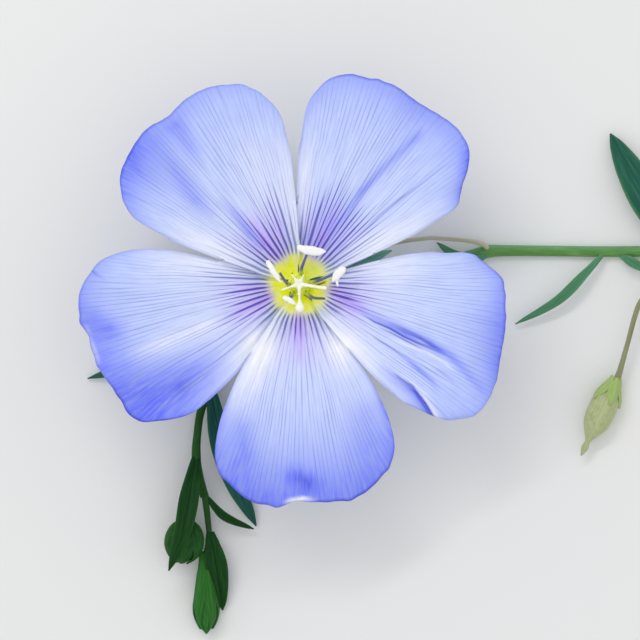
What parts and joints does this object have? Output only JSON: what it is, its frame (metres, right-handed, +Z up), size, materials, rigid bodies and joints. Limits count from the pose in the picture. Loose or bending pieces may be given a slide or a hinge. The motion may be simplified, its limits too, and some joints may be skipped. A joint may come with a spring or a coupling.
{
  "type": "flax flower",
  "caption": "Blue flax flower lying face up on its cut leafy stem, with petals round a yellow throat, calyx, drooping buds and a seed capsule.",
  "frame": {"origin": "on the surface that the flower lies on, directly below the middle of the flower, where the underside of the stem rests", "axes": "+Z up out of the flower's face, +X along the stem to its cut end, +Y between the two upper petals"},
  "size_m": [0.053, 0.0396, 0.0085],
  "materials": {
    "petal": "satin",
    "stamen": "matte",
    "pistil": "satin",
    "stem": "satin",
    "bud": "satin",
    "capsule": "matte"
  },
  "bodies": {
    "root": {"petal_1": "petal", "petal_2": "petal", "petal_3": "petal", "petal_4": "petal", "petal_5": "petal", "stamens": "stamen", "pistil": "pistil", "calyx": "stem", "leafy_stem": "stem", "bud_spray": "bud", "seed_capsule": "capsule"}
  },
  "joints": []
}
